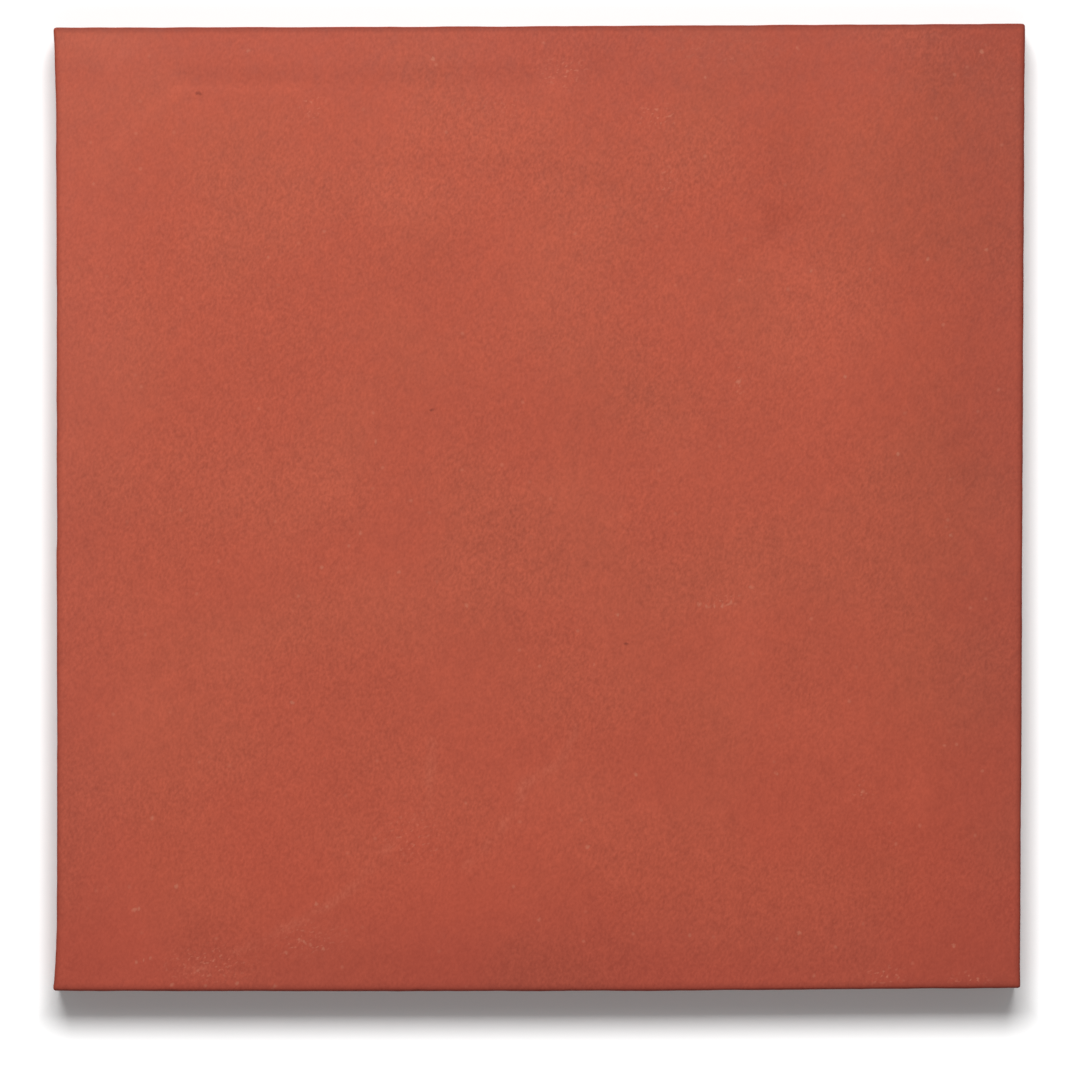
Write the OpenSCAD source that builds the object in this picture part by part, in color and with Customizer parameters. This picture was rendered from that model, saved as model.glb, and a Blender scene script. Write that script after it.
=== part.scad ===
// Square terracotta floor tile: one solid slab of fired clay.
// Millimetres, Z up. The tile lies on its bed face, and the origin is the centre of that face.
// A blank a little too large is trimmed on its four sides, and each cutter also rounds the edges
// above and below its side.

/* [Slab] */
// Overall size along X, over the corners
tile_x = 200; // [100:5:400]
// Overall size along Y, over the corners
tile_y = 200; // [100:5:400]
// Thickness from the bed face up to the wear face
thickness = 15; // [9:0.5:30]

/* [Drawn-in left side] */
// How far the middle of the left side lies inside its two corners
waist = 0.7; // [0.2:0.1:1.5]
// Length at each end of the left side over which it flares out to the corner
flare_run = 30; // [10:1:45]

/* [Edges] */
// Radius of the rounded edge (arris) around the wear face
arris_r = 0.9; // [0.3:0.1:3]
// Radius of the rounded edge around the bed face
bed_r = 0.5; // [0.2:0.1:3]
// How far each upright corner is worn back along both of its sides
corner_wear = 0.6; // [0.2:0.1:2]

/* [Hidden] */
$fn = 256;
// How far the blank stands out past a finished side, and a cutter past the blank
over = 1;
// Half the length of the drawn-in side that is straight, and half its length out to the worn corners
straight_half = tile_y / 2 - flare_run;
flare_end = tile_y / 2 - corner_wear;
flare_angle = atan(waist / (flare_end - straight_half));

// What a sharp edge has outside its rounding. The edge is at the origin, and the clay below left.
module outside_round(r, reach)
    translate([-r, -r])
    difference() {
        square([r + reach, r + over]);
        circle(r);
    }

// A cutter seen along its side: the finished side stands at x = 0, and Y is up the tile.
module trim_section(reach) {
    translate([0, -over])
        square([reach, thickness + 2 * over]);
    translate([0, thickness])
        outside_round(arris_r, reach);
    mirror([0, 1])
        outside_round(bed_r, reach);
}

// A straight cutter along Y that takes away what lies outside the plane x = 0.
module trim(run, reach)
    rotate([90, 0, 0])
    translate([0, 0, -run / 2])
    linear_extrude(run)
    trim_section(reach);

// The cutter for a straight side of the blank.
module straight_trim(side)
    trim(side + 4 * over, 2 * over);

// The cutter for the drawn-in side takes away only what three straight ones share: one along
// the waist, and one along each flare.
module waisted_trim(side)
    intersection() {
        translate([-waist, 0, 0])
            trim(side + 4 * over, waist + 2 * over);
        translate([0, flare_end, 0])
            rotate(-flare_angle)
            trim(3 * side, side / 2);
        translate([0, -flare_end, 0])
            rotate(flare_angle)
            trim(3 * side, side / 2);
    }

// The tile: the blank less its four trimmings and the wear down its corners.
module tile()
    color([0.70, 0.34, 0.26])
    difference() {
        translate([-tile_x / 2 - over, -tile_y / 2 - over, 0])
            cube([tile_x + 2 * over, tile_y + 2 * over, thickness]);
        translate([tile_x / 2, 0, 0])
            straight_trim(tile_y);
        rotate(90)
            translate([tile_y / 2, 0, 0])
            straight_trim(tile_x);
        rotate(180)
            translate([tile_x / 2, 0, 0])
            waisted_trim(tile_y);
        rotate(270)
            translate([tile_y / 2, 0, 0])
            straight_trim(tile_x);
        for (x = [-tile_x / 2, tile_x / 2], y = [-tile_y / 2, tile_y / 2])
            translate([x, y, thickness / 2])
            rotate(45)
            cube([corner_wear * sqrt(2), corner_wear * sqrt(2), thickness + 2 * over], center = true);
    }

tile();
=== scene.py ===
import bpy
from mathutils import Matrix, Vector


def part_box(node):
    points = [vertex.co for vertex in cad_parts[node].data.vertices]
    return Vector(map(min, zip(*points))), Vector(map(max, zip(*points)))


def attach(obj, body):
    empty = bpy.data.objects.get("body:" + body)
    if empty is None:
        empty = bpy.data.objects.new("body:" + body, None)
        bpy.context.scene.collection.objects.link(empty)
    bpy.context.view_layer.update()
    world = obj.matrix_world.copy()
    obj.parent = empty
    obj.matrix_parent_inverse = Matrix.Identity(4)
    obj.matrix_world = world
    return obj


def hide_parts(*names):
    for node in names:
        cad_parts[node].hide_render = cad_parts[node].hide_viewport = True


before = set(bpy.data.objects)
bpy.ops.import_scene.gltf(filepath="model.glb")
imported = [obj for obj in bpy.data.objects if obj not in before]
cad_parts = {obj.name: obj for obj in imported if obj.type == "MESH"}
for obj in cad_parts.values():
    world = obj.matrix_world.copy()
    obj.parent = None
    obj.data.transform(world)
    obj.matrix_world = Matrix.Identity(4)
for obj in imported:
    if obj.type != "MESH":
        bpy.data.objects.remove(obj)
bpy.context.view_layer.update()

# ---------------------------------------------------------------------------------------------
# The tile. One square slab of red clay, pressed in a mould, dried and fired without a glaze.
# Drying has drawn its left side in between the corners and left the outline a little out of
# square, and the press has left a shallow margin and crease round the wear face.
# ---------------------------------------------------------------------------------------------


def feed(socket, value):
    """Gives a socket another node's result, or a plain value."""
    if isinstance(value, Formula):
        value = value.socket
    if isinstance(value, bpy.types.NodeSocket):
        socket.id_data.links.new(value, socket)
    else:
        socket.default_value = value


def put(tree, kind, feeds=None, **settings):
    """Adds a node with these settings, and with its sockets fed by number or name."""
    node = tree.nodes.new(kind)
    for name, value in settings.items():
        setattr(node, name, value)
    for slot, value in (feeds or {}).items():
        feed(node.inputs[slot], value)
    return node


def work(operation, *terms):
    """One step of arithmetic in whichever tree the terms belong to."""
    tree = next(t.socket.id_data for t in terms if isinstance(t, Formula))
    node = put(tree, "ShaderNodeMath", dict(enumerate(terms)), operation=operation)
    return Formula(node.outputs[0])


class Formula:
    """A number that nodes work out, so that a rule for the clay reads as plain arithmetic."""

    def __init__(self, socket):
        self.socket = socket

    def __add__(self, other):
        return work("ADD", self, other)

    def __sub__(self, other):
        return work("SUBTRACT", self, other)

    def __rsub__(self, other):
        return work("SUBTRACT", other, self)

    def __mul__(self, other):
        return work("MULTIPLY", self, other)

    def __truediv__(self, other):
        return work("DIVIDE", self, other)

    def __rtruediv__(self, other):
        return work("DIVIDE", other, self)

    def __neg__(self):
        return self * -1.0

    def __abs__(self):
        return work("ABSOLUTE", self)

    __radd__ = __add__
    __rmul__ = __mul__


def least(a, b):
    return work("MINIMUM", a, b)


def most(a, b):
    return work("MAXIMUM", a, b)


def fade(distance, length):
    """1 at no distance, falling away over this length."""
    return work("EXPONENT", distance * (-1.0 / length))


def hump(offset, width):
    """1 on a line, falling away smoothly to both sides of it."""
    return work("EXPONENT", work("POWER", abs(offset) / width, 2.0) * -1.0)


def blend(a, b, share):
    return a + (b - a) * share


def ease(value, low, high):
    """Rises smoothly from 0 at low to 1 at high, or falls if low is the higher."""
    tree = value.socket.id_data
    feeds = {"Value": value, "From Min": low, "From Max": high}
    node = put(tree, "ShaderNodeMapRange", feeds, interpolation_type="SMOOTHSTEP")
    return Formula(node.outputs[0])


def point(x, y, z):
    tree = next(t.socket.id_data for t in (x, y, z) if isinstance(t, Formula))
    return put(tree, "ShaderNodeCombineXYZ", {0: x, 1: y, 2: z}).outputs[0]


def parts_of(vector):
    node = put(vector.id_data, "ShaderNodeSeparateXYZ", {0: vector})
    return [Formula(s) for s in node.outputs]


def grain(place, size, seed, detail=0.0, stretch=(1.0, 1.0, 1.0)):
    """Cloudy variation about 0, with lumps of this size along a stretch of 1."""
    feeds = {0: place, 1: tuple(1.0 / (size * s) for s in stretch)}
    scaled = put(place.id_data, "ShaderNodeVectorMath", feeds, operation="MULTIPLY").outputs[0]
    if isinstance(seed, Formula):
        shift = point(seed * 17.3, seed * 9.1, seed * 23.7)
    else:
        shift = (seed * 17.3, seed * 9.1, seed * 23.7)
    moved = put(place.id_data, "ShaderNodeVectorMath", {0: scaled, 1: shift}, operation="ADD").outputs[0]
    feeds = {"Vector": moved, "Scale": 1.0, "Detail": detail}
    return Formula(put(place.id_data, "ShaderNodeTexNoise", feeds).outputs[0]) - 0.5


def turned(place):
    """The same place in turned axes, so that no grain lines up with the slab."""
    feeds = {"Vector": place, "Axis": (0.4, 0.7, 0.6), "Angle": 0.9}
    return put(place.id_data, "ShaderNodeVectorRotate", feeds, rotation_type="AXIS_ANGLE").outputs[0]


def astray(place, size, reach):
    """A place that wanders this far over this distance, so that no mark has a drawn outline."""
    noise = put(place.id_data, "ShaderNodeTexNoise", {"Vector": place, "Scale": 1.0 / size, "Detail": 2.0})
    feeds = {0: noise.outputs["Color"], 1: (0.5, 0.5, 0.5)}
    offset = put(place.id_data, "ShaderNodeVectorMath", feeds, operation="SUBTRACT").outputs[0]
    feeds = {0: offset, 1: (reach, reach, 0.0), 2: place}
    return put(place.id_data, "ShaderNodeVectorMath", feeds, operation="MULTIPLY_ADD").outputs[0]


def off_spot(place, x, y, reach_x, reach_y):
    """How far a place lies from a spot on the wear face: 1 at the reach given for each way."""
    scale = (1.0 / reach_x, 1.0 / reach_y, 0.0)
    shift = (-x / reach_x, -y / reach_y, 0.0)
    feeds = {0: place, 1: scale, 2: shift}
    near = put(place.id_data, "ShaderNodeVectorMath", feeds, operation="MULTIPLY_ADD")
    reach = put(place.id_data, "ShaderNodeVectorMath", {0: near.outputs[0]}, operation="LENGTH")
    return Formula(reach.outputs["Value"])


def off_line(place, start, end):
    """How far a place lies from a straight line between two spots on the wear face."""
    run, rise = end[0] - start[0], end[1] - start[1]
    px, py, _ = parts_of(place)
    share = ((px - start[0]) * run + (py - start[1]) * rise) / (run * run + rise * rise)
    share = least(most(share, 0.0), 1.0)
    off_x, off_y = px - start[0] - share * run, py - start[1] - share * rise
    return work("SQRT", off_x * off_x + off_y * off_y)


def nearest_of(distances):
    """The least of several distances."""
    distances = list(distances)
    result = distances[0]
    for distance in distances[1:]:
        result = least(distance, result)
    return result


def total(values):
    """The sum of several values."""
    values = list(values)
    result = values[0]
    for value in values[1:]:
        result = result + value
    return result


def spots(place, marks, full=0.0):
    """Spots over one another, from a list of: place, reach each way, and how much. Each is gone at
    its reach and whole at this share of it."""
    return total(ease(off_spot(place, *mark[:4]), 1.0, full) * mark[4] for mark in marks)


def strokes(place, marks):
    """Strokes over one another, from a list of: start, end, reach, and how much."""
    return total(ease(off_line(place, start, end), wide, 0.0) * much for start, end, wide, much in marks)


def inset_from_outline(x, y, half_x, half_y, corner):
    """How far in a spot lies from a square outline with rounded corners."""
    past_x, past_y = abs(x) - (half_x - corner), abs(y) - (half_y - corner)
    around_x, around_y = most(past_x, 0.0), most(past_y, 0.0)
    around = work("SQRT", around_x * around_x + around_y * around_y)
    return corner - around - least(most(past_x, past_y), 0.0)


def opened(place):
    """1 where a small hole opens in a side."""
    return ease(grain(turned(place), 1.8, 12.0, 1.0), -0.20, -0.30)


# The rule for the slab's shape, in millimetres until the last step.
slab_rule = bpy.data.node_groups.new("pressed_tile", "GeometryNodeTree")
slab_sizes = {
    "Size X": 200.0,
    "Size Y": 200.0,
    "Thickness": 15.0,
    "Arris Radius": 0.9,
    "Bed Edge Radius": 0.5,
    "Waist": 0.8,
    "Margin Width": 11.0,
    "Margin Drop": 0.22,
    "Crease Inset": 9.5,
    "Crease Depth": 0.05,
    "Crease Corner": 22.0,
    "Warp": 0.5,
    "Swell": 0.10,
    "Ripple": 0.045,
    "Side Roughness": 0.25,
    "Bed Roughness": 0.5,
    "Nibble": 0.5,
    "Seed": 3.0,
}
slab_rule.interface.new_socket("Bare Grains", in_out="INPUT", socket_type="NodeSocketGeometry")
for name, value in slab_sizes.items():
    socket = slab_rule.interface.new_socket(name, in_out="INPUT", socket_type="NodeSocketFloat")
    socket.default_value = value
for name, value in {"Rows Across": 208, "Rows Up": 15, "Edge Rows Across": 6, "Edge Rows Up": 4}.items():
    socket = slab_rule.interface.new_socket(name, in_out="INPUT", socket_type="NodeSocketInt")
    socket.default_value = value
slab_rule.interface.new_socket("Clay", in_out="INPUT", socket_type="NodeSocketMaterial")
slab_rule.interface.new_socket("Slab", in_out="OUTPUT", socket_type="NodeSocketGeometry")
given = slab_rule.nodes.new("NodeGroupInput")
size = {s.name: Formula(s) for s in given.outputs if s.name}
bare_grain_points = given.outputs["Bare Grains"]
half_x, half_y, thick = size["Size X"] / 2.0, size["Size Y"] / 2.0, size["Thickness"]
seed = size["Seed"]

blank = put(
    slab_rule,
    "GeometryNodeMeshCube",
    {
        "Size": (2.0, 2.0, 2.0),
        "Vertices X": size["Rows Across"],
        "Vertices Y": size["Rows Across"],
        "Vertices Z": size["Rows Up"],
    },
)
across, along, up = parts_of(put(slab_rule, "GeometryNodeInputPosition").outputs[0])


def crowd(t, rows, edge_rows, half, band):
    """Moves rows towards both edges, so that the rounding gets its own."""
    band_in_rows = edge_rows * 2.0 / (rows - 1.0)
    inner = (1.0 - band / half) / (1.0 - band_in_rows)
    outer = band / half / band_in_rows
    reach = least(abs(t) * inner, 1.0 - (1.0 - abs(t)) * outer)
    return reach * work("SIGN", t)


# The sharp block, with its rows where the edges need them.
edge_band, rise_band = 1.8, 1.4
across = crowd(across, size["Rows Across"], size["Edge Rows Across"], half_x, edge_band)
along = crowd(along, size["Rows Across"], size["Edge Rows Across"], half_y, edge_band)
up = crowd(up, size["Rows Up"], size["Edge Rows Up"], thick / 2.0, rise_band)
x, y, z = across * half_x, along * half_y, (up + 1.0) * thick / 2.0

# Its edges and corners rounded: what stands outside a smaller block is drawn in to one radius.
round_r = blend(size["Bed Edge Radius"], size["Arris Radius"], ease(z, 2.0, 12.0))
core_x = work("SIGN", x) * least(abs(x), half_x - round_r)
core_y = work("SIGN", y) * least(abs(y), half_y - round_r)
core_z = least(most(z, round_r), thick - round_r)
feeds = {0: point(x - core_x, y - core_y, z - core_z)}
outward = put(slab_rule, "ShaderNodeVectorMath", feeds, operation="NORMALIZE").outputs[0]
out_x, out_y, out_z = parts_of(outward)
x, y, z = core_x + out_x * round_r, core_y + out_y * round_r, core_z + out_z * round_r
spot = point(x, y, z)

# The outline: how far each side lies inside the block at its middle, how it leans over half its
# length, and how far its corners flare back out.
left_lean, left_back_flare, left_front_flare = 0.06, 0.64, 0.88
right_middle, right_lean, right_back_flare, right_front_flare = 0.51, 0.48, 0.08, 0.10
back_middle, back_lean, back_bow = 1.00, 0.42, 0.13
front_middle, front_lean, front_draw = 0.46, 0.62, 0.12
from_back, from_front, from_left = half_y - y, half_y + y, half_x + x
left_in = size["Waist"] - along * left_lean - left_back_flare * fade(from_back, 12.0)
left_in = left_in - left_front_flare * fade(from_front, 6.0)
right_in = right_middle - along * right_lean - right_back_flare * fade(from_back, 8.0)
right_in = right_in - right_front_flare * fade(from_front, 4.0)
back_in = back_middle - across * back_lean - back_bow * work("POWER", abs(across), 2.0)
front_in = front_middle + front_lean * ease(across, 0.0, 1.1) + front_draw * fade(from_left, 6.0)
tremble = grain(spot, 14.0, seed + 1.0, 2.0) * 0.22 + grain(spot, 3.0, seed + 2.0, 1.0) * 0.07
right_share = (across + 1.0) / 2.0
back_share = (along + 1.0) / 2.0
new_x = x + blend(left_in, -right_in, right_share)
new_y = y + blend(front_in, -back_in, back_share)

# The sides are dragged and gritty, and both edges are nibbled here and there.
side = most(abs(out_x), abs(out_y))
drag = grain(spot, 2.2, seed + 3.0, 3.0, (3.0, 3.0, 1.0)) * size["Side Roughness"]
bare = ease(grain(spot, 7.0, seed + 4.0, 1.0), 0.16, 0.30)
top_nibble = bare * ease(grain(spot, 1.6, seed + 5.0), 0.02, 0.25) * side * ease(out_z, 0.10, 0.35)
bed_nibble = ease(grain(spot, 5.0, seed + 6.0, 1.0), 0.05, 0.25) * side * ease(out_z, -0.10, -0.35)
bite = (top_nibble * 0.6 + bed_nibble) * size["Nibble"]
hole_depth, side_clearance, drag_clearance = 0.25, 0.1, 0.06
holes = opened(point(new_x, new_y, z)) * hole_depth
worn_in = most(tremble, -0.3) + side_clearance + drag + drag_clearance + holes
inward = side * worn_in * ease(abs(out_z), 1.0, 0.7) + bite
new_x = new_x - out_x * inward
new_y = new_y - out_y * inward

# The wear face: a margin that falls to the edge, the press's crease, and slow warps.
inset = inset_from_outline(x, y, half_x, half_y, size["Crease Corner"])
crease_place = inset - size["Crease Inset"] + grain(spot, 40.0, seed + 7.0) * 6.0
crease_strength = ease(grain(spot, 55.0, seed + 8.0) + (along - across) * 0.12, -0.12, 0.14)
crease = hump(crease_place, 2.4) * crease_strength * size["Crease Depth"]
margin = ease(inset, size["Margin Width"], 0.0) * size["Margin Drop"]
warp = (grain(spot, 70.0, seed + 9.0, 1.0) + 0.35) * size["Warp"]
swell = (grain(turned(spot), 16.0, seed + 10.0, 1.0) + 0.35) * size["Swell"]
ripple = (grain(turned(spot), 4.5, seed + 11.0, 2.0) + 0.35) * size["Ripple"]
thumb_mark, thumb_depth = (51.0, 58.5, 5.5, 4.5), 0.16
thumb = ease(off_spot(spot, *thumb_mark), 1.0, 0.0)

# Pits (place and reach each way), where the press pulled a lump out.
pits = [(-70, 85, 1.1, 0.5), (-22, 20, 0.6, 0.45), (18, -28, 0.9, 0.3)]
pit_depth = 0.10


def off_pits(place):
    """How far a place lies from the nearest pit."""
    return nearest_of(off_spot(place, *pit) for pit in pits)


pit_hollow = ease(off_pits(spot), 2.0, 0.0) * pit_depth
sunk = margin + crease + warp + swell + ripple + thumb * thumb_depth + pit_hollow
top = ease(z, thick - 1.4, thick - 0.1)
new_z = z - sunk * top - bite * ease(out_z, 0.10, 0.35)

# The bed face is rough from the board it dried on: it bears on its high spots.
bed = ease(z, 1.2, 0.1)
bed_rise = most(grain(spot, 9.0, seed + 12.0, 4.0, (1.0, 4.0, 1.0)) + 0.05, 0.0) * size["Bed Roughness"]
new_z = new_z + bed_rise * bed

# How dark each spot is: slow clouds of firing colour, marks where the slab lay against its neighbours
# (place, reach each way, and how much paler), margins darker at the front and right, partly painted
# shade, the face painted darker towards the right, and painted shade and light along the crease and the thumb
# dent.
fire_spots = [
    (58, 34, 15, 30, 0.6), (3, -62, 22, 16, 0.7), (-44, 6, 13, 9, 0.7), (-62, 6, 11, 9, 0.6),
    (5, 5, 14, 7, 0.6), (42, -28, 9, 30, 1.3), (58, -44, 20, 14, 0.6), (78, -58, 6, 14, 0.7),
    (-62, -30, 8, 6, 0.6), (-26, -61, 9, 14, 0.5), (-32, 64, 8, 8, 0.4), (50, 73, 12, 23, -1.15),
    (-61, 74, 13, 11, -0.6), (18, 22, 24, 13, -0.7), (-20, 51, 14, 16, -0.4), (-60, 26, 32, 12, -0.5),
    (-93, -2, 12, 18, -0.7), (-8, -27, 18, 15, -0.5), (62, -68, 20, 12, -0.7), (-70, -87, 10, 7, -0.8),
    (58, 95, 34, 10, -0.4), (-60, -92, 22, 8, -0.4), (88, 10, 8, 60, -0.3),
    (76, 68, 34, 44, -1.0),
]
# One of these small marks, at 50, 60, is painted shade in the thumb dent.
small_marks = [
    (3, 87, 5.5, 5.0, 0.75), (12, 93, 6.0, 6.0, -0.6), (50, 60, 6.0, 6.0, -0.35), (-92, 97, 10.0, 2.5, 0.8),
    (-93, 91, 6.0, 4.0, -0.4), (22, -62, 4.5, 2.2, 0.8), (16, -77, 3.5, 3.0, 0.8), (79, -60, 3.0, 9.0, 0.5),
    (-70, -88, 8.0, 4.0, -0.25), (-92, -95, 9.0, 4.0, -0.6),
]
# Several of these lines are painted shade and painted light on the walls of the press crease at the back left
# and of the thumb dent; the rest are streaks of firing colour.
shaded_and_fired_lines = [
    ((-73, 90), (-2, 90), 3.6, -0.9), ((20, 88), (56, 88), 4.0, -0.35), ((-74, 87), (-49, 87), 1.8, 0.8),
    ((-89, 75), (-74, 88), 2.6, 0.6), ((-91, 36), (-91, 74), 2.6, 0.35), ((-26, 72), (2, 71), 3.6, -0.22),
    ((2, 71), (25, 63), 3.6, -0.34), ((47, 63), (48, 56), 2.2, -0.7), ((48, 52), (58, 46), 4.0, 0.45),
    ((-88.5, 91), (-86, 94.5), 1.4, 0.7), ((-86, 94.5), (-82, 97), 1.6, 0.5),
]
loose = astray(spot, 14.0, 6.0)
close = astray(spot, 7.0, 2.5)
tight = astray(spot, 5.0, 1.2)
ragged = astray(astray(spot, 9.0, 3.0), 3.0, 1.8)
fire_marks = spots(loose, fire_spots)
fine_marks = spots(tight, small_marks, 0.2) + strokes(tight, shaded_and_fired_lines)
clouds = grain(turned(spot), 42.0, seed + 13.0, 2.0) * 0.23
clouds = clouds + grain(turned(spot), 13.0, seed + 14.0, 2.0) * 0.14
front_strength = 0.13 + hump(x + 8.0, 40.0) * 0.22
back_strength = 0.05 + ease(x, -35.0, 15.0) * 0.08
front_rim, back_rim = ease(y, -76.0, -98.0), ease(y, 78.0, 97.0)
right_rim, left_rim = ease(x, 62.0, 99.0), ease(x, -84.0, -99.0) * ease(y, 10.0, -50.0)
# The rims are partly painted shade: the margins darker at the front and right, where the light falls off.
rims_and_shade = back_rim * back_strength + front_rim * front_strength + right_rim * 0.24 + left_rim * 0.12
# Painted shade: the face grows darker towards the right (x * 0.0007), in place of the lamp's light falling
# off.
fired = clouds + fire_marks * 0.11 + fine_marks * 0.17 - rims_and_shade - x * 0.0007
reddened = ease(grain(turned(spot), 30.0, seed + 15.0, 2.0), 0.16, -0.12) * 0.6
reddened = reddened + ease(y, -25.0, -95.0) * 0.8
smooth_corner, sheen_corner = (-92, 92, 32, 26), (-91, 97, 15, 8)
smoothed = ease(x, 20.0, 95.0) * 0.14 + ease(off_spot(loose, *smooth_corner), 1.2, 0.4) * 0.16
toothed = ease(grain(turned(spot), 30.0, seed + 16.0, 1.0) - smoothed + 0.04, -0.20, 0.20)
# Painted sheen: the back left and its corner are made paler, as if a sheen lay there.
painted_sheen = ease(y - x, 57.0, 214.0) + ease(off_spot(close, *sheen_corner), 1.0, 0.5) * 0.8
ashen = ease(inset + grain(turned(spot), 20.0, seed + 19.0, 2.0) * 16.0, 24.0, 0.0)
patchy = ease(grain(turned(spot), 13.0, seed + 18.0, 3.0), 0.0, 0.26)

# Where handling has rubbed the face chalky (place, reach each way, how much), and two drag marks
# that wander up from the front edge.
scuff_spots = [
    (-68, -94, 14, 5.5, 1.0), (-48, -89, 12, 6, 0.7), (-26, -68, 11, 10, 0.6), (72, -97, 7, 3, 1.2),
    (89, -98, 6, 2, 1.4), (37, -19, 6, 1.5, 1.5), (46, -19, 1.5, 1.2, 1.0), (-47, 83, 4, 4, 1.2),
    (24, 81, 6, 4, 1.2), (5, 90, 8, 5, 0.9), (36, 94, 24, 6, 0.3), (26, 67, 3, 6, 0.9),
    (41, 27, 1.5, 8, 0.8), (-10, 83, 18, 4, 0.4), (67, -59, 4, 4, 0.7),
]
drag_marks = [
    [(-76, -98), (-58, -90), (-42, -81), (-23, -62), (-22, -49)],
    [(-14, -74), (-4, -61), (-3, -57), (5, -52), (7, -46)],
]
scuffed = spots(close, scuff_spots)
off_drag = nearest_of(off_line(ragged, *leg) for mark in drag_marks for leg in zip(mark, mark[1:]))
drag_reach = 1.9
dragged = ease(off_drag, drag_reach, 0.0) * ease(grain(turned(spot), 4.0, seed + 17.0, 2.0), -0.16, 0.16)

# A band of painted shade along each edge of the face, where it rounds over: most at the front, least at the
# left.
rim_start, rim_full = 1.7, 0.4
front_edge = ease(half_y + y, 2.2, rim_full) * 1.2
right_edge = ease(half_x - x, rim_start, rim_full)
back_edge = ease(half_y - y, rim_start, rim_full) * 1.25
left_edge = ease(half_x + x, rim_start, rim_full) * 0.5
rim_shade = most(most(front_edge, right_edge), most(back_edge, left_edge))

# The way to the nearest bare grain, and 1 where that grain is close.
grain_lost, grain_close = 2.4, 1.6
flat_spot = point(x, y, 0.0)
feeds = {"Geometry": bare_grain_points, "Sample Position": flat_spot}
nearest = put(slab_rule, "GeometryNodeProximity", feeds, target_element="POINTS")
feeds = {0: nearest.outputs["Position"], 1: flat_spot}
to_grain = put(slab_rule, "ShaderNodeVectorMath", feeds, operation="SUBTRACT").outputs[0]
near_grain = ease(Formula(nearest.outputs["Distance"]), grain_lost, grain_close)

# The slab carries its marks with it, and its material reads them by these names.
slab_marks = {
    "fired": fired,
    "reddened": reddened,
    "painted_sheen": painted_sheen,
    "ashen": ashen,
    "toothed": toothed,
    "patchy": patchy,
    "scuffed": scuffed,
    "dragged": dragged,
    "bitten": bite,
    "raised": ease(bed_rise, 0.0, 0.12),
    "rim_shade": rim_shade,
    "near_grain": near_grain,
    "to_grain": to_grain,
}
slab = blank
for name, value in slab_marks.items():
    slab = put(
        slab_rule,
        "GeometryNodeStoreNamedAttribute",
        {"Geometry": slab.outputs[0], "Name": name},
        data_type="FLOAT" if isinstance(value, Formula) else "FLOAT_VECTOR",
        domain="POINT",
    )
    feed(slab.inputs["Value"], value)
feeds = {0: point(new_x, new_y, new_z), "Scale": 0.001}
in_metres = put(slab_rule, "ShaderNodeVectorMath", feeds, operation="SCALE").outputs[0]
feeds = {"Geometry": slab.outputs[0], "Position": in_metres}
shaped = put(slab_rule, "GeometryNodeSetPosition", feeds)
smooth = put(slab_rule, "GeometryNodeSetShadeSmooth", {0: shaped.outputs[0], "Shade Smooth": True})
real = put(slab_rule, "GeometryNodeRealizeInstances", {0: smooth.outputs[0]})
clad = put(slab_rule, "GeometryNodeSetMaterial", {"Geometry": real.outputs[0], "Material": size["Clay"]})
slab_end = slab_rule.nodes.new("NodeGroupOutput")
feed(slab_end.inputs[0], clad.outputs[0])

# Fired red clay: matt with a faint sheen, mottled by the firing, finely grained, with pale grog at the
# surface, a few pits, and the scuffs and drag marks of handling. Painted shade darkens its edges, sides,
# pits, holes and right-hand part, and a painted sheen makes the back left paler.
clay = bpy.data.materials.new("fired_clay")
clay.use_nodes = True
clay_tree = clay.node_tree
clay_tree.nodes.clear()
clay_end = put(clay_tree, "ShaderNodeOutputMaterial")
clay_shader = put(clay_tree, "ShaderNodeBsdfPrincipled", {"Specular IOR Level": 0.15})
feed(clay_end.inputs["Surface"], clay_shader.outputs[0])


def rgb(red, green, blue):
    """A colour written in the usual 0 to 255, as the linear values that a shader takes."""
    return tuple(((c / 255.0 + 0.055) / 1.055) ** 2.4 for c in (red, green, blue)) + (1.0,)


def tint(base, colour, share):
    """One colour laid over another."""
    node = put(clay_tree, "ShaderNodeMix", data_type="RGBA")
    feed(node.inputs["Factor"], share)
    feed(node.inputs[6], base)
    feed(node.inputs[7], colour)
    return node.outputs[2]


def carried(name):
    """What the slab carries under this name."""
    return put(clay_tree, "ShaderNodeAttribute", attribute_name=name).outputs


def kept(name):
    """How strong a mark is."""
    return Formula(carried(name)["Fac"])


coords = put(clay_tree, "ShaderNodeTexCoord").outputs["Object"]
mm = put(clay_tree, "ShaderNodeVectorMath", {0: coords, "Scale": 1000.0}, operation="SCALE").outputs[0]
facing_x, facing_y, facing = parts_of(put(clay_tree, "ShaderNodeNewGeometry").outputs["Normal"])
wear = ease(facing, 0.3, 0.9)
# Painted shade on the arrises and sides, heavier on those that face the front and right, away from the lamp.
edge_shade_share = 0.37 + facing_x * 0.28 - facing_y * 0.26
edge_shade = ease(facing, 0.996, 0.76) * edge_shade_share
bed_side = ease(facing, -0.3, -0.9)

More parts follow.
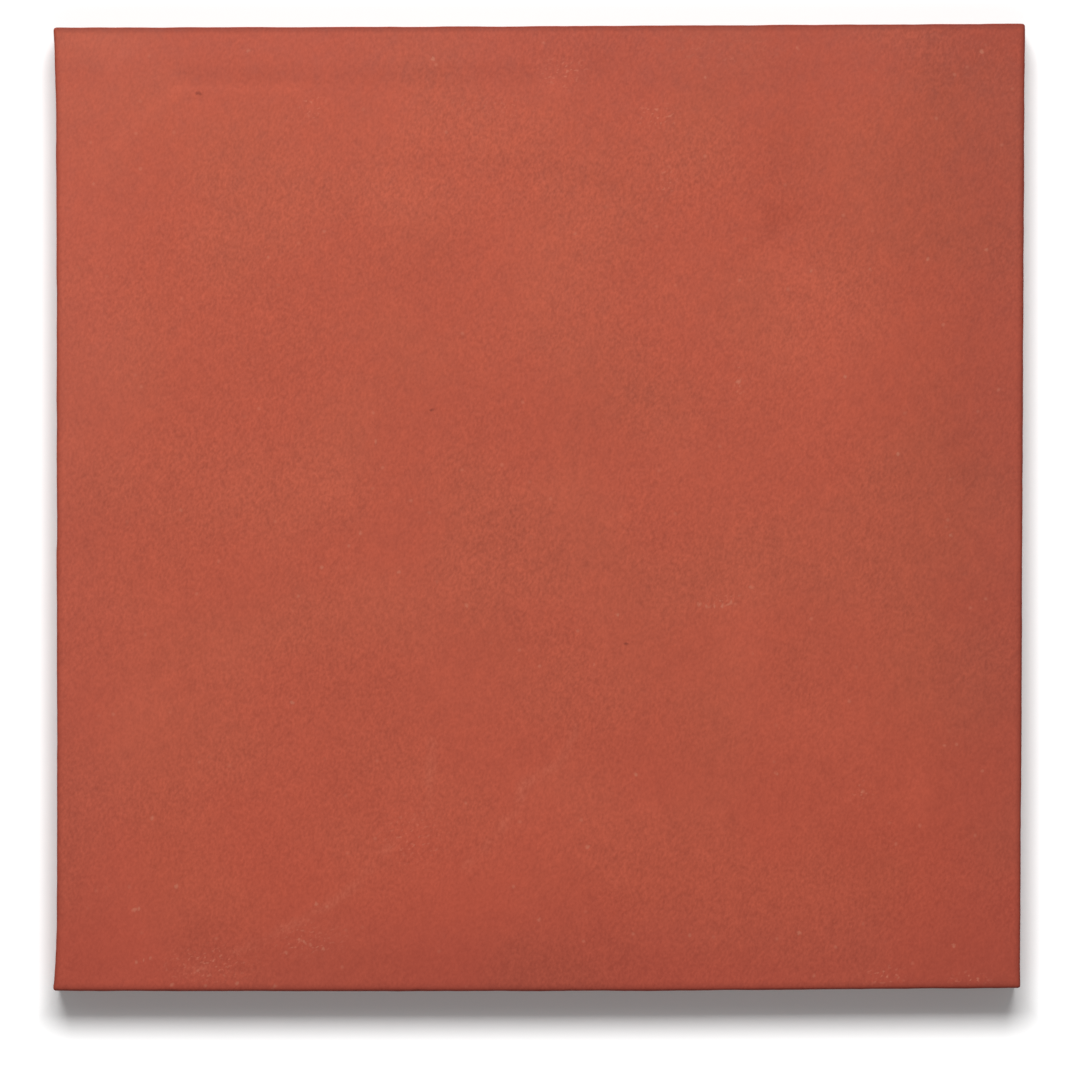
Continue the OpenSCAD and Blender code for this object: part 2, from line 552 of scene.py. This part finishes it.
# The body's own grain, and its colour: darker where it was fired harder and where shade is painted in,
# with a painted sheen that makes the back left paler. Some parts of the face are toothed and others smooth.
feeds = {"Vector": mm, "Angle": 0.35}
leaning = put(clay_tree, "ShaderNodeVectorRotate", feeds, rotation_type="Z_AXIS").outputs[0]
feeds = {0: leaning, 1: (1.2, 0.8, 1.0)}
drawn = put(clay_tree, "ShaderNodeVectorMath", feeds, operation="MULTIPLY").outputs[0]
skew = turned(drawn)
fleck_size, fine_size = 2.6, 0.66
fleck = grain(skew, fleck_size, 3.0, 1.0)
fine = grain(skew, fine_size, 4.0, 1.5)
tooth = 0.70 + kept("toothed") * 0.45
tone = 0.52 + kept("fired") + fleck * 0.44 + fine * tooth * 0.97
dark_clay, light_clay = rgb(147, 66, 47), rgb(194, 93, 69)
pale_sheen, raw_red, ash = rgb(196, 108, 84), rgb(180, 66, 50), rgb(172, 94, 90)
colour = tint(dark_clay, light_clay, tone)
colour = tint(colour, pale_sheen, kept("painted_sheen") * 0.08)
colour = tint(colour, raw_red, kept("reddened") * 0.25)
colour = tint(colour, ash, kept("ashen") * 0.07)

# Pale grog: a scatter of fine grains, and the larger ones that the press left bare.
feeds = {"Vector": mm, "Scale": 0.36, "Randomness": 1.0}
cells = put(clay_tree, "ShaderNodeTexVoronoi", feeds, voronoi_dimensions="2D")
pick = Formula(put(clay_tree, "ShaderNodeSeparateColor", {0: cells.outputs["Color"]}).outputs[2])
off_cell = Formula(cells.outputs["Distance"]) + fine * 0.25
grog = ease(off_cell, 0.20, 0.02) * ease(pick, 0.96, 1.0)
gap_to_grain = put(clay_tree, "ShaderNodeVectorMath", {0: carried("to_grain")["Vector"]}, operation="LENGTH")
off_grain = Formula(gap_to_grain.outputs["Value"]) + fine * 1.1
bare_grog = ease(off_grain, 0.62, 0.12) * kept("near_grain")

# The pits get painted shade inside, and the scuffs are a chalky grain that is smeared one way.
pit_shade = ease(off_pits(mm) + fine * 1.8, 1.1, 0.0)
feeds = {"Vector": mm, "Angle": -0.45}
smeared = put(clay_tree, "ShaderNodeVectorRotate", feeds, rotation_type="Z_AXIS").outputs[0]
scuff_grain = ease(grain(smeared, 0.62, 6.0, 1.0, (1.5, 1.0, 1.0)), 0.06, 0.24)
marks = grog * 0.22 + kept("scuffed") * scuff_grain * 0.36 + kept("dragged") * (0.08 + fine * 0.25)
marks = least(marks, 1.0) * wear
chalk, pale_grog, pit_shade_colour = rgb(214, 138, 112), rgb(226, 160, 130), rgb(90, 34, 28)
edge_shade_colour, rim_shade_colour = rgb(110, 43, 34), rgb(104, 40, 32)
colour = tint(colour, chalk, marks)
colour = tint(colour, pale_grog, bare_grog * 0.21 * wear)
colour = tint(colour, pit_shade_colour, pit_shade * 0.5 * wear)
# Painted shade: the arrises and sides darkened, and a dark band along each edge of the face.
colour = tint(colour, edge_shade_colour, edge_shade)
colour = tint(colour, rim_shade_colour, kept("rim_shade") * wear * 0.38)

# The sides were dragged out of the mould: rough, streaked upwards and opened here and there, with
# paler clay where the edges are nibbled, and dust from the drying board on the bed face.
side_share = (1.0 - wear) * (1.0 - bed_side)
streak = grain(mm, 1.3, 11.0, 1.0, (1.0, 1.0, 6.0))
hole_shade = opened(mm) * side_share
streak_dark, patch_pale = rgb(128, 54, 38), rgb(206, 116, 86)
hole_shade_colour, broken_clay, board_sand = rgb(70, 28, 22), rgb(204, 108, 80), rgb(204, 122, 92)
patch = side_share * kept("patchy") * ease(streak + fine * 0.5, -0.12, 0.16)
colour = tint(colour, streak_dark, side_share * ease(streak, 0.02, -0.18) * 0.6)
colour = tint(colour, patch_pale, patch * 0.42)
# Painted shade inside the small holes that open in the sides.
colour = tint(colour, hole_shade_colour, hole_shade * 0.7)
colour = tint(colour, broken_clay, least(kept("bitten") * 1.5, 0.5) * (1.0 - wear))
sand = scuff_grain * ease(fleck, -0.10, 0.12)
board_dust = ease(kept("raised") + fine * 1.2, 0.10, 0.90)
dust = 0.08 + board_dust * 0.28 + sand * 0.34 + fleck * 0.3
colour = tint(colour, board_sand, most(dust, 0.0) * bed_side)
feed(clay_shader.inputs["Base Color"], colour)
feed(clay_shader.inputs["Roughness"], 0.62 + fleck * 0.25 + edge_shade * 0.2 + marks * 0.2)

# The grain stands up, more so on the sides, and the rest of the relief is the slab's own.
height = fine * (0.030 + tooth * 0.030) + (fine * 0.20 + streak * 0.25) * (1.0 - wear)
bump = put(clay_tree, "ShaderNodeBump", {"Height": height, "Distance": 0.001, "Strength": 1.0})
feed(clay_shader.inputs["Normal"], bump.outputs[0])

# Where the press left a larger grain bare, and how deep its middle lies.
bare_grains = [
    (-22, 93, 0.0), (-60, 95, 0.3), (34, 89, 0.3), (41, 47, 0.3), (56, 49, 0.3), (68, 49, 0.4), (92, 53, 0.3),
    (-56, 52, 0.2), (-62, 47, 0.4), (41, 26, 0.2), (63, 27, 0.3), (74, 11, 0.2), (-15, -20, 0.2),
    (16, -22, 0.3), (-37, -5, 0.2), (-34, 14, 0.3), (-29, -13, 0.3), (-45, -12, 0.3), (-50, -18, 0.3),
    (-51, -40, 0.3), (-64, -53, 0.3), (-80, -64, 0.2), (20, -55, 0.2), (49, -55, 0.3), (10, -70, 0.2),
    (67, -59, 0.2), (0, -85, 0.2), (86, -91, 0.2), (85, -6, 0.4), (-75, -78, 0.1), (-75.4, -98.6, 0.0),
    (-62, -98.2, 0.0), (-54, -98.7, 0.2), (91, 94, 0.0), (53, 95, 0.1), (80, 51, 0.2), (54, -88, 0.1),
    (-68.5, -98.6, 0.2), (-84.0, -83.1, 0.2), (-82.8, -82.6, 0.2), (-80.0, -92.9, 0.3), (-83.2, -93.8, 0.3),
    (-49.2, -89.2, 0.3), (-47.3, -90.1, 0.3), (-44.5, -91.0, 0.2), (-52.1, -91.8, 0.3), (-46.1, -81.7, 0.3),
    (33.1, -19.9, 0.2), (34.9, -20.4, 0.2), (37.9, -20.3, 0.1), (39.6, -19.5, 0.2), (43.9, -16.4, 0.1),
    (43.9, -30.1, 0.3),
]

# The rule is worked out once, from those places, and its result kept as a plain mesh.
grain_mesh = bpy.data.meshes.new("bare_grains")
grain_mesh.from_pydata(bare_grains, [], [])
maker = bpy.data.objects.new("tile_maker", grain_mesh)
bpy.context.scene.collection.objects.link(maker)
press = maker.modifiers.new("press", "NODES")
press.node_group = slab_rule
low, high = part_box("tile")
measured = {
    "Size X": (high[0] - low[0]) * 1000.0,
    "Size Y": (high[1] - low[1]) * 1000.0,
    "Thickness": (high[2] - low[2]) * 1000.0,
    "Clay": clay,
}
for item in slab_rule.interface.items_tree:
    if item.name in measured:
        press[item.identifier] = measured[item.name]
    elif item.in_out == "INPUT" and item.socket_type != "NodeSocketGeometry":
        press[item.identifier] = item.default_value
evaluated = maker.evaluated_get(bpy.context.evaluated_depsgraph_get())
tile_mesh = bpy.data.meshes.new_from_object(evaluated)
bpy.data.objects.remove(maker)
tile = bpy.data.objects.new("fired_tile", tile_mesh)
bpy.context.scene.collection.objects.link(tile)
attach(tile, "root")
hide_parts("tile")

# ---------------------------------------------------------------------------------------------
# The floor it lies on, the lamp, the white surroundings and the camera, which looks straight down.
# ---------------------------------------------------------------------------------------------
floor_mesh = bpy.data.meshes.new("floor")
floor_half = 2.0
corners = [(-1, -1), (1, -1), (1, 1), (-1, 1)]
floor_mesh.from_pydata([(sx * floor_half, sy * floor_half, 0.0) for sx, sy in corners], [], [(0, 1, 2, 3)])
floor = bpy.data.objects.new("floor", floor_mesh)
bpy.context.scene.collection.objects.link(floor)
white = bpy.data.materials.new("white_floor")
white.use_nodes = True
white_tree = white.node_tree
white_tree.nodes.clear()
white_end = put(white_tree, "ShaderNodeOutputMaterial")
matt = put(white_tree, "ShaderNodeBsdfDiffuse", {"Color": (0.84, 0.84, 0.84, 1.0)})
glow = put(white_tree, "ShaderNodeEmission", {"Color": (1.0, 1.0, 1.0, 1.0)})


def looked_at(tree):
    """1 for what the camera sees, straight or by way of gloss or glass."""
    path = put(tree, "ShaderNodeLightPath").outputs
    mirrored = most(Formula(path["Is Glossy Ray"]), Formula(path["Is Transmission Ray"]))
    return most(Formula(path["Is Camera Ray"]), mirrored)


# How it glows to the camera: little where the tile's shadow lies and fully where it ends, so that the
# shadow stays while the rest is white. Beside the tile's left and right the shadow ends sooner.
glow_close, glow_near, glow_far = 0.10, 0.32, 0.58
tile_half, tile_corner, shadow_beside = high[0], 0.004, 0.007
floor_x, floor_y, _ = parts_of(put(white_tree, "ShaderNodeTexCoord").outputs["Object"])
clear_of_tile = inset_from_outline(floor_x, floor_y, tile_half, tile_half, tile_corner)
beside = ease(abs(floor_x), tile_half, tile_half + shadow_beside)
near = most(ease(clear_of_tile, -0.003, -0.014), beside)
far = ease(clear_of_tile, -0.10, -0.70)
glow_strength = glow_close + near * glow_near + far * glow_far
feed(glow.inputs["Strength"], looked_at(white_tree) * glow_strength)
both = put(white_tree, "ShaderNodeAddShader", {0: matt.outputs[0], 1: glow.outputs[0]})
feed(white_end.inputs["Surface"], both.outputs[0])
floor_mesh.materials.append(white)

# The surroundings are white to the camera and dim to the tile.
world = bpy.data.worlds.new("studio")
bpy.context.scene.world = world
world.use_nodes = True
world_tree = world.node_tree
world_tree.nodes.clear()
world_end = put(world_tree, "ShaderNodeOutputWorld")
sky = put(world_tree, "ShaderNodeBackground", {"Color": (1.0, 1.0, 1.0, 1.0)})
sky_light = 0.20
feed(sky.inputs["Strength"], sky_light + looked_at(world_tree) * (1.0 - sky_light))
feed(world_end.inputs["Surface"], sky.outputs[0])


def lamp(name, place, width, depth, watts):
    """A soft box that faces the middle of the tile."""
    data = bpy.data.lights.new(name, "AREA")
    data.shape = "RECTANGLE"
    data.size, data.size_y, data.energy = width, depth, watts
    box = bpy.data.objects.new(name, data)
    bpy.context.scene.collection.objects.link(box)
    box.location = place
    away = box.location.copy()
    box.rotation_euler = away.to_track_quat("Z", "Y").to_euler()


lamp("key", place=(-0.012, 0.58, 1.09), width=0.60, depth=0.40, watts=14.45)

# The camera stands high above with a long lens, so that no side of the tile shows.
view_x, view_y, view_height = 0.00022, -0.00671, 1.2464
camera_data = bpy.data.cameras.new("camera")
camera_data.lens = 200.0
camera_data.sensor_width = 36.0
camera = bpy.data.objects.new("camera", camera_data)
bpy.context.scene.collection.objects.link(camera)
camera.location = (view_x, view_y, view_height)
bpy.context.scene.camera = camera
bpy.context.scene.view_settings.view_transform = "Standard"
